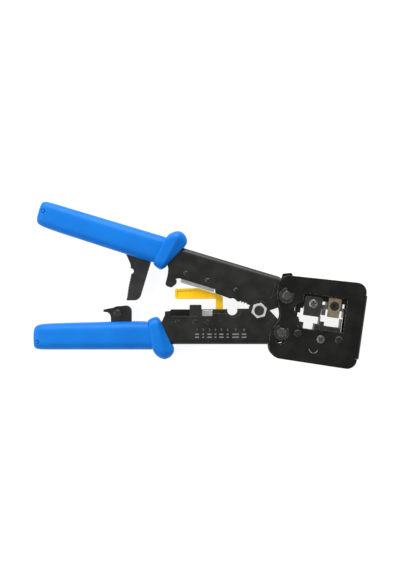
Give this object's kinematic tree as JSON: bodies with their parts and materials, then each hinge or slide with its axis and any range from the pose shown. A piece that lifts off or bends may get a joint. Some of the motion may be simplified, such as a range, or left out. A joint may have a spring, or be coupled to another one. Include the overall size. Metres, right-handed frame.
{
  "type": "modular plug crimping tool",
  "caption": "Ratchet crimping tool for pass-through modular plugs, with two vinyl-gripped arms, a parallel-action head, trimming blades and wire strippers.",
  "frame": {"origin": "on the main pivot's axis, at the flat face of the pivot bolt's head, where the tool rests on its back", "axes": "+X from the main pivot along the head, +Y towards the upper arm in the plane of the tool, +Z out of the tool's front face"},
  "size_m": [0.2081, 0.0909, 0.0244],
  "materials": {
    "black_steel": "satin black coating",
    "blue_grip": "soft dipped vinyl, satin",
    "dark_steel": "dark oxide",
    "bright_zinc": "bright zinc plate",
    "spring_steel": "drawn wire",
    "pin_steel": "turned steel",
    "die_steel": "ground steel",
    "nest_steel": "dark oxide",
    "blade_steel": "ground steel",
    "gold_blade": "straw-tempered steel",
    "yellow_plastic": "moulded, glossy",
    "black_plastic": "moulded, matt",
    "brown_pad": "dark rubber"
  },
  "bodies": {
    "lower_arm": {"lower_arm": "black_steel", "lower_grip": "blue_grip", "pivot_bolt": "dark_steel", "pivot_nut": "bright_zinc", "return_spring": "spring_steel", "lower_pin": "pin_steel", "lower_clips": "dark_steel", "pawl_bracket": "black_steel", "bracket_rivets": "pin_steel", "pawl_rivet": "pin_steel", "pawl_spring": "spring_steel", "guard_block": "black_plastic", "guard_pin": "pin_steel", "lower_strip_blade": "blade_steel", "cable_blade": "blade_steel", "lower_blade_rivets": "dark_steel"},
    "upper_arm": {"upper_arm": "black_steel", "upper_grip": "blue_grip", "ratchet_rack": "black_steel", "rack_rivets": "pin_steel", "upper_strip_blade": "blade_steel", "upper_blade_rivets": "dark_steel", "stop_pad": "brown_pad"},
    "jaw": {"die_jaw": "black_steel", "die_8p": "die_steel", "die_6p": "die_steel", "contact_blades_8p": "blade_steel", "contact_blades_6p": "blade_steel", "trim_blade_8p": "dark_steel", "trim_blade_6p": "gold_blade", "trim_screw_8p": "bright_zinc", "trim_screw_6p": "dark_steel"},
    "housing": {"head_housing": "black_steel", "nest_8p": "nest_steel", "nest_6p": "nest_steel", "nest_rivets": "dark_steel", "nest_screw": "bright_zinc", "upper_pin": "pin_steel", "upper_clips": "dark_steel"},
    "pawl": {"pawl": "black_steel"},
    "guard": {"blade_guard": "yellow_plastic"},
    "stop": {"length_stop": "black_plastic"}
  },
  "joints": [
    {"name": "squeeze", "type": "hinge", "parent": "lower_arm", "child": "upper_arm", "pos_m": [0, 0, 0.0122], "axis": [0, 0, 1], "range_deg": [0, 15], "stiffness_Nm_per_rad": 1.5, "springref_deg": -5.73, "deforming": ["return_spring"]},
    {"name": "jaw_swing", "type": "hinge", "parent": "lower_arm", "child": "jaw", "pos_m": [0.01546, -0.01138, 0.0122], "axis": [0, 0, 1], "range_deg": [0, 7.6]},
    {"name": "head_slide", "type": "slide", "parent": "jaw", "child": "housing", "axis": [0, 1, 0], "range_m": [0, 0.0039]},
    {"name": "pawl_swing", "type": "hinge", "parent": "lower_arm", "child": "pawl", "pos_m": [-0.08595, -0.01393, 0.0122], "axis": [0, 0, 1], "range_deg": [0, 12], "stiffness_Nm_per_rad": 0.01, "springref_deg": -8.59},
    {"name": "guard_swing", "type": "hinge", "parent": "lower_arm", "child": "guard", "pos_m": [-0.02329, -0.00885, 0.0122], "axis": [0, 0, 1], "range_deg": [-12, 5]},
    {"name": "stop_slide", "type": "slide", "parent": "lower_arm", "child": "stop", "axis": [0.9901, 0.14, 0], "range_m": [-0.01, 0]}
  ],
  "couplings": [
    {"joint": "jaw_swing", "follows": "squeeze", "ratio": 0.5},
    {"joint": "head_slide", "follows": "squeeze", "m_per_rad": 0.0148}
  ]
}
